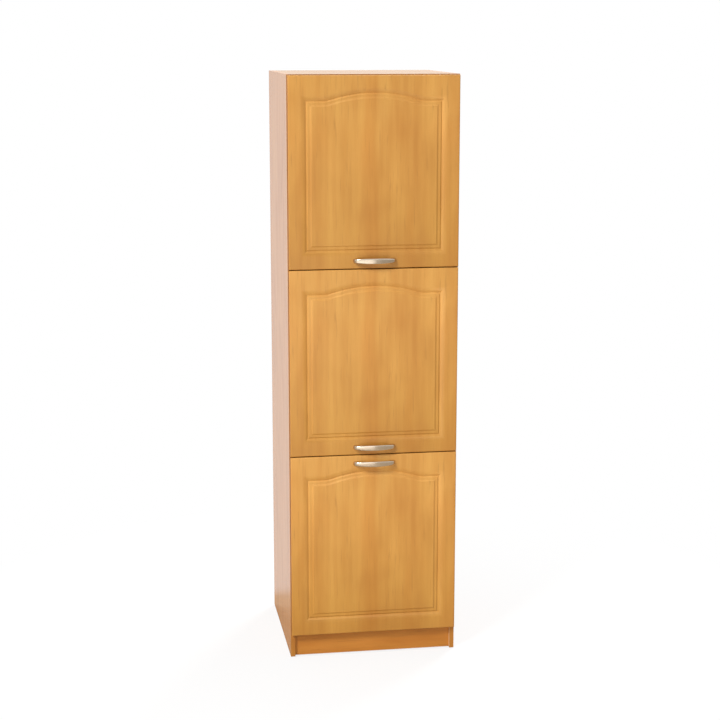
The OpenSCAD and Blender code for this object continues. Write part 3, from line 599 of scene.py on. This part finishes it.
for door in DOORS:
    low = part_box(door + "_door")[0]
    piece = place_piece("routed_" + door + "_door", door_mesh(door + "_front", low.z),
                        door + "_door", [door + "_door"])
    holes = []
    for cup_low, cup_high in solid_boxes(door + "_hinge_cups"):
        holes.append((DOOR_SIDE - CUP_FROM_SIDE, Y_INNER - CUP_DEPTH, Y_INNER + MM,
                      (cup_low.z + cup_high.z) / 2, CUP_R))
    for screw_low, screw_high in solid_boxes(door + "_cup_screws"):
        centre = (screw_low + screw_high) / 2
        holes.append((centre.x, Y_INNER - CUP_SCREW_DEPTH, Y_INNER + MM, centre.z, CUP_SCREW_R))
    for screw_low, screw_high in solid_boxes(door + "_handle_screws"):
        centre = (screw_low + screw_high) / 2
        holes.append((centre.x, Y_FACE - MM, Y_INNER + MM, centre.z, HANDLE_SCREW_R))
    cutter = bpy.data.objects.new("bores", cylinder_mesh("bores", holes))
    bpy.context.scene.collection.objects.link(cutter)
    add_modifier(piece, "BOOLEAN", object=cutter, operation="DIFFERENCE", solver="EXACT")
    apply_modifiers(piece)
    bpy.data.objects.remove(cutter)
    piece.data.materials.clear()
    # The flat edges take the painted shade.
    for material in (door_foil, inner_melamine, door_edge_painted_shade):
        piece.data.materials.append(material)
    for polygon in piece.data.polygons:
        polygon.material_index = door_faces(polygon)
    smooth(piece.data, 24)
    add_modifier(piece, "WEIGHTED_NORMAL", mode="FACE_AREA", weight=100, keep_sharp=True)
    apply_modifiers(piece)
    print(piece.name, len(piece.data.polygons), "faces")

# %% [markdown]
# ## The bow handles
#
# The handle follows a rule: a rounded section is carried along half an ellipse. It is thick and low at its
# feet, thin and tall in the middle. A rule is what Geometry Nodes are for. The tree starts from a cylinder
# whose sides become the section and whose length becomes the bow. Its vertices are then moved to the place
# that the rule gives, so the skin stays closed and the feet keep their flat ends on the door.

# %% Geometry Nodes helpers
def new_tree(name, sizes, kinds):
    """A geometry tree with named inputs, numbers unless kinds says otherwise. Returns the tree, the
    sockets of its inputs and its output node."""
    tree = bpy.data.node_groups.new(name, "GeometryNodeTree")
    tree.interface.new_socket("Geometry", in_out="INPUT", socket_type="NodeSocketGeometry")
    for label in sizes:
        tree.interface.new_socket(label, in_out="INPUT",
                                  socket_type=kinds.get(label, "NodeSocketFloat"))
    tree.interface.new_socket("Geometry", in_out="OUTPUT", socket_type="NodeSocketGeometry")
    return tree, add(tree, "NodeGroupInput").outputs, add(tree, "NodeGroupOutput")


def run_tree(tree, base, values):
    """Runs the tree on a base mesh with these inputs and returns the plain result."""
    carrier = bpy.data.objects.new("carrier", base)
    bpy.context.scene.collection.objects.link(carrier)
    modifier = carrier.modifiers.new("tree", "NODES")
    modifier.node_group = tree
    for item in tree.interface.items_tree:
        if item.in_out == "INPUT" and item.name in values:
            modifier[item.identifier] = values[item.name]
    mesh = evaluated_mesh(carrier)
    bpy.data.objects.remove(carrier)
    return mesh


def formula(tree, operation, *values):
    """A Math node on numbers or sockets."""
    node = add(tree, "ShaderNodeMath", {"operation": operation})
    for i, value in enumerate(values):
        if isinstance(value, (int, float)):
            node.inputs[i].default_value = value
        else:
            tree.links.new(value, node.inputs[i])
    return node.outputs[0]


# %% The bow as a rule
HANDLE_SIZES = {
    "Pitch": 128 * MM, "Reach": 28 * MM, "Middle thickness": 5 * MM, "Foot thickness": 22 * MM,
    "Middle height": 19 * MM, "Foot height": 15 * MM}
bow_tree, given, bow_out = new_tree(
    "bow_handle", [*HANDLE_SIZES, "Place", "Finish"],
    {"Place": "NodeSocketVector", "Finish": "NodeSocketMaterial"})
tube = add(bow_tree, "GeometryNodeMeshCylinder",
           {"fill_type": "NGON", "Vertices": 64, "Side Segments": 96, "Radius": 1.0, "Depth": 1.0})
spot = add(bow_tree, "ShaderNodeSeparateXYZ", {},
           {0: add(bow_tree, "GeometryNodeInputPosition").outputs[0]}).outputs
along = formula(bow_tree, "MULTIPLY_ADD", spot["Z"], math.pi, math.pi / 2)
cos_a = formula(bow_tree, "COSINE", along)
sin_a = formula(bow_tree, "SINE", along)
foot = formula(bow_tree, "POWER", formula(bow_tree, "ABSOLUTE", cos_a), 3.0)


def between(low, high):
    span = formula(bow_tree, "SUBTRACT", given[high], given[low])
    return formula(bow_tree, "MULTIPLY_ADD", span, foot, given[low])


def squared_off(value):
    """The rounded-rectangle section: the root of a circle's sine or cosine, with its sign."""
    root = formula(bow_tree, "SQRT", formula(bow_tree, "ABSOLUTE", value))
    return formula(bow_tree, "MULTIPLY", root, formula(bow_tree, "SIGN", value))


out = formula(bow_tree, "MULTIPLY", squared_off(spot["X"]),
              formula(bow_tree, "MULTIPLY", between("Middle thickness", "Foot thickness"), 0.5))
up = formula(bow_tree, "MULTIPLY", squared_off(spot["Y"]),
             formula(bow_tree, "MULTIPLY", between("Middle height", "Foot height"), 0.5))
bow_a = formula(bow_tree, "MULTIPLY", given["Pitch"], 0.5)
bow_b = formula(bow_tree, "MULTIPLY_ADD", given["Middle thickness"], -0.5, given["Reach"])
normal = add(bow_tree, "ShaderNodeVectorMath", {"operation": "NORMALIZE"}, {0: add(
    bow_tree, "ShaderNodeCombineXYZ", {},
    {0: formula(bow_tree, "MULTIPLY", formula(bow_tree, "MULTIPLY", bow_b, cos_a), -1.0),
     1: formula(bow_tree, "MULTIPLY", formula(bow_tree, "MULTIPLY", bow_a, sin_a), -1.0)}).outputs[0]})
centre = add(bow_tree, "ShaderNodeCombineXYZ", {},
             {0: formula(bow_tree, "MULTIPLY", formula(bow_tree, "MULTIPLY", bow_a, cos_a), -1.0),
              1: formula(bow_tree, "MULTIPLY", formula(bow_tree, "MULTIPLY", bow_b, sin_a), -1.0), 2: up})
offset = add(bow_tree, "ShaderNodeVectorMath", {"operation": "SCALE"},
             {0: normal.outputs[0], "Scale": out})
local = add(bow_tree, "ShaderNodeVectorMath", {"operation": "ADD"},
            {0: centre.outputs[0], 1: offset.outputs[0]})
placed = add(bow_tree, "ShaderNodeVectorMath", {"operation": "ADD"},
             {0: local.outputs[0], 1: given["Place"]})
moved = add(bow_tree, "GeometryNodeSetPosition", {},
            {"Geometry": tube.outputs["Mesh"], "Position": placed.outputs[0]})
real = add(bow_tree, "GeometryNodeRealizeInstances", {}, {0: moved.outputs[0]})
finish = add(bow_tree, "GeometryNodeSetMaterial", {},
             {"Geometry": real.outputs[0], "Material": given["Finish"]})
bow_tree.links.new(finish.outputs[0], bow_out.inputs[0])
print("bow tree:", len(bow_tree.nodes), "nodes")

# %% Make the three handles
def fix_normals(mesh):
    """Turns every face outwards."""
    work = bmesh.new()
    work.from_mesh(mesh)
    bmesh.ops.recalc_face_normals(work, faces=work.faces)
    work.to_mesh(mesh)
    work.free()


for door in DOORS:
    low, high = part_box(door + "_handle")
    values = {**HANDLE_SIZES, "Place": Vector((0, Y_FACE, (low.z + high.z) / 2)), "Finish": satin_nickel}
    mesh = run_tree(bow_tree, bpy.data.meshes.new("empty"), values)
    fix_normals(mesh)
    smooth(mesh, 40)
    handle = place_piece("bow_" + door + "_handle", mesh, door + "_door", [door + "_handle"])
    print(handle.name, len(mesh.polygons), "faces")

# %% [markdown]
# ## Boards with finished edges
#
# CAD edges are perfectly sharp. Real boards are edge-banded and the band is scraped round, about 0.8 mm, so
# each edge catches a thin line of light. The CAD board is copied, its loose triangles are merged and the
# flat ones joined, and the sharp edges are bevelled. The front edges get the darker edge band, and the
# edges that nobody sees stay bare chipboard.

# %% Copy a CAD node with softer edges
SKIN_DEPTH = 1.2 * MM
FOOT_DEPTH = 4 * MM


def soften(node_name, width, body="carcass", skins=None, prefix="finished_"):
    """A copy of a CAD node with its edges rounded by width. skins are a board's materials: outside,
    inside, front edge and raw board."""
    work = bmesh.new()
    work.from_mesh(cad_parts[node_name].data)
    bmesh.ops.remove_doubles(work, verts=work.verts, dist=MERGE)
    bmesh.ops.dissolve_limit(work, angle_limit=math.radians(1), verts=work.verts, edges=work.edges)
    mesh = bpy.data.meshes.new(prefix + node_name)
    work.to_mesh(mesh)
    work.free()
    piece = place_piece(prefix + node_name, mesh, body, [node_name])
    for material in skins or [FINISHES[slot_of[node_name]]]:
        mesh.materials.append(material)
    add_modifier(piece, "BEVEL", width=width, segments=2, limit_method="ANGLE",
                 angle_limit=math.radians(35), use_clamp_overlap=True)
    apply_modifiers(piece)
    if skins:
        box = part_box(node_name)
        for polygon in piece.data.polygons:
            polygon.material_index = board_skin(polygon, *box)
    smooth(piece.data, 40)
    add_modifier(piece, "WEIGHTED_NORMAL", mode="FACE_AREA", weight=100, keep_sharp=True)
    apply_modifiers(piece)
    return piece


def board_skin(polygon, low, high):
    """0 for a board's outer face, 1 for a face that looks into the cabinet, 2 for its banded front edge,
    3 for bare edges, lower ends and the walls of bores and grooves."""
    centre, normal = polygon.center, polygon.normal
    depth = min(min(centre[i] - low[i], high[i] - centre[i]) for i in range(3))
    if depth > SKIN_DEPTH:
        return 3
    if centre.y < low.y + SKIN_DEPTH and normal.y < -0.3:
        return 2
    if normal.y > 0.9 or (centre.z < FOOT_DEPTH and normal.z < -0.9):
        return 3
    looks_in = normal.x * centre.x < -0.5 * X_IN or normal.z * (centre.z - DOOR_H) < -0.5 * DOOR_H
    return 1 if looks_in else 0


SIDE_SKINS = [side_foil, inner_melamine, edge_band, raw_chipboard]
TOP_SKINS = [top_foil, shelf_melamine, edge_band, raw_chipboard]
SHELF_SKINS = [shelf_melamine, shelf_melamine, edge_band, raw_chipboard]
LOOSE_SKINS = [shelf_melamine, shelf_melamine, shelf_melamine, raw_chipboard]
board_total = 0
for node_name in ("left_side", "right_side"):
    board_total += len(soften(node_name, 0.8 * MM, skins=SIDE_SKINS).data.polygons)
board_total += len(soften("top_panel", 0.8 * MM, skins=TOP_SKINS).data.polygons)
for node_name in ("bottom_panel", "upper_fixed_shelf", "lower_fixed_shelf"):
    board_total += len(soften(node_name, 0.6 * MM, skins=SHELF_SKINS).data.polygons)
for node_name in ("upper_shelf", "middle_shelf", "lower_shelf"):
    board_total += len(soften(node_name, 0.8 * MM, skins=LOOSE_SKINS).data.polygons)
board_total += len(soften("plinth_board", 0.8 * MM).data.polygons)
print("board faces:", board_total)

# %% Soften the hinges
for door in DOORS:
    soften(door + "_hinge_cups", 0.25 * MM, door + "_door", prefix="pressed_")
    soften(door + "_hinge_links", 0.3 * MM, door + "_links", prefix="pressed_")
for node_name in ("hinge_plates", "hinge_arms", "shelf_pins", "wall_brackets"):
    soften(node_name, 0.3 * MM, prefix="pressed_")
for node_name in ("corner_blocks", "door_bumpers", "back_joiner"):
    soften(node_name, 0.3 * MM, prefix="eased_")

# %% [markdown]
# ## Screws and nails
#
# The cabinet has 40 screws that show when its doors are open. They differ only in their sizes, so one
# Geometry Nodes tree makes them all: a domed head with a cross recess and a plain shank, put on each point
# of the base mesh and turned the way the screw goes in. The same tree without the recess makes the nails
# that hold the back boards.

# %% The screw tree
screw_tree, given, screw_out = new_tree(
    "screws", ["Head diameter", "Head height", "Shank diameter", "Length", "Recess", "Turn", "Finish"],
    {"Turn": "NodeSocketRotation", "Finish": "NodeSocketMaterial"})


def scaled(label, factor):
    return formula(screw_tree, "MULTIPLY", given[label], factor)


head = add(screw_tree, "GeometryNodeMeshCone", {"Vertices": 24, "Side Segments": 3},
           {"Radius Top": scaled("Head diameter", 0.34), "Radius Bottom": scaled("Head diameter", 0.5),
            "Depth": given["Head height"]})
head_low = add(screw_tree, "ShaderNodeCombineXYZ", {}, {2: scaled("Head height", -1.0)})
head_set = add(screw_tree, "GeometryNodeTransform", {},
               {"Geometry": head.outputs[0], "Translation": head_low.outputs[0]})
arm_size = add(screw_tree, "ShaderNodeCombineXYZ", {},
               {0: scaled("Head diameter", 0.52), 1: scaled("Head diameter", 0.12),
                2: formula(screw_tree, "MULTIPLY", given["Recess"], 2.0)})
bar = add(screw_tree, "GeometryNodeMeshCube", {}, {"Size": arm_size.outputs[0]})
bar_turned = add(screw_tree, "GeometryNodeTransform", {"Rotation": Euler((0, 0, math.pi / 2))},
                 {"Geometry": bar.outputs[0]})
cut = add(screw_tree, "GeometryNodeMeshBoolean", {"operation": "DIFFERENCE", "solver": "EXACT"},
          {0: head_set.outputs[0]})
screw_tree.links.new(bar.outputs[0], cut.inputs["Mesh 2"])
screw_tree.links.new(bar_turned.outputs[0], cut.inputs["Mesh 2"])
has_recess = add(screw_tree, "FunctionNodeCompare", {"operation": "GREATER_THAN"}, {0: given["Recess"]})
head_kind = add(screw_tree, "GeometryNodeSwitch", {"input_type": "GEOMETRY"},
                {0: has_recess.outputs[0], 1: head_set.outputs[0], 2: cut.outputs[0]})
shank_l = formula(screw_tree, "SUBTRACT", given["Length"], given["Head height"])
shank = add(screw_tree, "GeometryNodeMeshCylinder", {"Vertices": 16},
            {"Radius": scaled("Shank diameter", 0.5), "Depth": shank_l})
shank_mid = formula(screw_tree, "MULTIPLY_ADD", shank_l, -0.5, scaled("Head height", -1.0))
shank_low = add(screw_tree, "ShaderNodeCombineXYZ", {}, {2: shank_mid})
shank_set = add(screw_tree, "GeometryNodeTransform", {},
                {"Geometry": shank.outputs[0], "Translation": shank_low.outputs[0]})
one = add(screw_tree, "GeometryNodeJoinGeometry", {}, {0: head_kind.outputs[0]})
screw_tree.links.new(shank_set.outputs[0], one.inputs[0])
copies = add(screw_tree, "GeometryNodeInstanceOnPoints", {},
             {"Points": given["Geometry"], "Instance": one.outputs[0], "Rotation": given["Turn"]})
real = add(screw_tree, "GeometryNodeRealizeInstances", {}, {0: copies.outputs[0]})
finish = add(screw_tree, "GeometryNodeSetMaterial", {},
             {"Geometry": real.outputs[0], "Material": given["Finish"]})
screw_tree.links.new(finish.outputs[0], screw_out.inputs[0])
print("screw tree:", len(screw_tree.nodes), "nodes")

# %% Put the screws in
TURNS = {"-X": (0, -math.pi / 2, 0), "+Y": (-math.pi / 2, 0, 0), "-Z": (math.pi, 0, 0)}


def make_screws(name, places, body, facing, sizes, stands_for=()):
    """Screws with their heads' tops at these places, facing along one axis."""
    points = bpy.data.meshes.new("points")
    points.from_pydata([tuple(p) for p in places], [], [])
    values = {**sizes, "Turn": Euler(TURNS[facing]), "Finish": zinc_steel}
    mesh = run_tree(screw_tree, points, values)
    fix_normals(mesh)
    smooth(mesh, 30)
    return place_piece(name, mesh, body, stands_for)


def screws_from(node_name, body, facing, head_height, shank, recess):
    """Screws at the solids of a CAD node: their boxes give place, length and head."""
    axis = "XYZ".index(facing[1])
    side = 0 if facing[0] == "-" else 1
    places = []
    for box in solid_boxes(node_name):
        place = (box[0] + box[1]) / 2
        place[axis] = box[side][axis]
        places.append(place)
    low, high = solid_boxes(node_name)[0]
    size = high - low
    sizes = {"Head diameter": size[(axis + 1) % 3], "Head height": head_height, "Shank diameter": shank,
             "Length": size[axis], "Recess": recess}
    piece = make_screws("cross_" + node_name, places, body, facing, sizes, [node_name])
    print(piece.name, len(places), "screws")


screws_from("hinge_plate_screws", "carcass", "-X", 1.6 * MM, 5 * MM, 1.2 * MM)
screws_from("hinge_arm_screws", "carcass", "-X", 2 * MM, 4 * MM, 1.4 * MM)
screws_from("bracket_screws", "carcass", "-Z", 1.6 * MM, 3.5 * MM, 1.2 * MM)
for door in DOORS:
    screws_from(door + "_cup_screws", door + "_door", "+Y", 0.4 * MM, 3 * MM, 0.3 * MM)
    screws_from(door + "_handle_screws", door + "_door", "+Y", 2 * MM, 4 * MM, 1.2 * MM)

# %% Nail the back boards
NAIL_PITCH = 90 * MM
NAIL_HEAD = 0.5 * MM
nails = []
for node_name in ("bottom_panel", "lower_fixed_shelf", "upper_fixed_shelf"):
    low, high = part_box(node_name)
    count = int((high.x - low.x) / NAIL_PITCH)
    for n in range(count + 1):
        x = (n - count / 2) * NAIL_PITCH
        nails.append((x, Y_BACK + NAIL_HEAD, (low.z + high.z) / 2))
make_screws("back_nails", nails, "carcass", "+Y",
            {"Head diameter": 4 * MM, "Head height": NAIL_HEAD, "Shank diameter": 1.4 * MM,
             "Length": 3.4 * MM, "Recess": 0.0})
print("nails:", len(nails))

# %% [markdown]
# ## The studio
#
# The photograph has a pure white ground and a soft light from the upper left. The world gives even light
# from all round, and the key lamp, high on the left, gives the mouldings their form. A fill lamp stands
# high behind on the right, for the top and the back. A bow shows what stands on each side of it, so a weak
# softbox at the left front turns the handles' left half bright. The camera doesn't see the lamps.
#
# The background is white for the camera, in reflections and through clear parts only, so it adds no light.
# Near the cabinet the floor is partly a glowing white and partly a real pale floor, which keeps the
# shadow, and further off it turns all white. Reflections show the real floor beside the cabinet, so the
# foot of the side panel mirrors its tan, and white from behind the cabinet on.

# %% Floor
FLOOR_HALF = 30
FLOOR_COLOUR = "#b9ab98"
FLOOR_SEEN = "#f8f8f8"
GLOW_FROM, GLOW_TO, GLOW_LEAST = 0.7, 1.7, 0.78
MIRROR_FROM, MIRROR_TO = 0.4, 0.5
floor_material, tree, shader = new_material("studio_floor")
shader.inputs["Roughness"].default_value = 0.9
white = add(tree, "ShaderNodeEmission", {"Color": (1, 1, 1, 1), "Strength": 1.0})
rays = add(tree, "ShaderNodeLightPath")
tone = add(tree, "ShaderNodeMix", {"data_type": "RGBA", 6: linear(FLOOR_COLOUR), 7: linear(FLOOR_SEEN)},
           {0: rays.outputs["Is Camera Ray"]})
tree.links.new(tone.outputs[2], shader.inputs["Base Color"])
place = add(tree, "ShaderNodeTexCoord").outputs["Object"]
distance = add(tree, "ShaderNodeVectorMath", {"operation": "LENGTH"}, {0: place})
glow = add(tree, "ShaderNodeMapRange", {"From Min": GLOW_FROM, "From Max": GLOW_TO, "To Min": GLOW_LEAST},
           {"Value": distance.outputs["Value"]})
to_camera = add(tree, "ShaderNodeMath", {"operation": "MULTIPLY"},
                {0: rays.outputs["Is Camera Ray"], 1: glow.outputs[0]})
depth = add(tree, "ShaderNodeSeparateXYZ", {}, {0: place})
behind = add(tree, "ShaderNodeMapRange", {"From Min": MIRROR_FROM, "From Max": MIRROR_TO},
             {"Value": depth.outputs["Y"]})
to_gloss = add(tree, "ShaderNodeMath", {"operation": "MULTIPLY"},
               {0: rays.outputs["Is Glossy Ray"], 1: behind.outputs[0]})
share = add(tree, "ShaderNodeMath", {"operation": "MAXIMUM"},
            {0: to_camera.outputs[0], 1: to_gloss.outputs[0]})
both = add(tree, "ShaderNodeMixShader", {}, {0: share.outputs[0], 1: shader.outputs[0], 2: white.outputs[0]})
output = [n for n in tree.nodes if n.type == "OUTPUT_MATERIAL"][0]
tree.links.new(both.outputs[0], output.inputs["Surface"])
floor_mesh = bpy.data.meshes.new("floor")
floor_mesh.from_pydata([(-FLOOR_HALF, -FLOOR_HALF, 0), (FLOOR_HALF, -FLOOR_HALF, 0),
                        (FLOOR_HALF, FLOOR_HALF, 0), (-FLOOR_HALF, FLOOR_HALF, 0)], [], [(0, 1, 2, 3)])
floor_mesh.materials.append(floor_material)
floor = bpy.data.objects.new("floor", floor_mesh)
bpy.context.scene.collection.objects.link(floor)
print("floor:", 2 * FLOOR_HALF, "m wide")

# %% World and lamps
AMBIENT = 0.42
LAMPS = {
    "key": {"place": (-8.5, -8.6, 10.5), "aim": (0, 0, 1.1), "size": (4, 4), "power": 1650},
    "fill": {"place": (5, 6.5, 9), "aim": (0, 0, 1.1), "size": (4, 4), "power": 1000},
    "softbox": {"place": (-0.8, -2.1, 0.82), "aim": (0, Y_FACE, 0.82), "size": (2.4, 1.2), "power": 13}}
world = bpy.data.worlds.new("studio")
world.use_nodes = True
bpy.context.scene.world = world
tree = world.node_tree
tree.nodes.clear()
ambient = add(tree, "ShaderNodeBackground", {"Color": (1, 1, 1, 1), "Strength": AMBIENT})
seen = add(tree, "ShaderNodeBackground", {"Color": (1, 1, 1, 1), "Strength": 1.0})
rays = add(tree, "ShaderNodeLightPath")
direct = add(tree, "ShaderNodeMath", {"operation": "MAXIMUM"},
             {0: rays.outputs["Is Camera Ray"], 1: rays.outputs["Is Glossy Ray"]})
any_seen = add(tree, "ShaderNodeMath", {"operation": "MAXIMUM"},
               {0: direct.outputs[0], 1: rays.outputs["Is Transmission Ray"]})
both = add(tree, "ShaderNodeMixShader", {},
           {0: any_seen.outputs[0], 1: ambient.outputs[0], 2: seen.outputs[0]})
add(tree, "ShaderNodeOutputWorld", {}, {"Surface": both.outputs[0]})


def lamp(name, place, aim, size, power):
    """A soft lamp of size (width, height) in metres and power in watts at place, turned towards aim."""
    data = bpy.data.lights.new(name, "AREA")
    data.shape = "RECTANGLE"
    data.size, data.size_y = size
    data.energy = power
    light = bpy.data.objects.new(name, data)
    light.location = place
    light.rotation_euler = (Vector(aim) - Vector(place)).to_track_quat("-Z", "Y").to_euler()
    light.visible_camera = False
    bpy.context.scene.collection.objects.link(light)


for name, settings in LAMPS.items():
    lamp(name, **settings)
bpy.context.scene.view_settings.view_transform = "Standard"
print("lamps:", list(LAMPS))
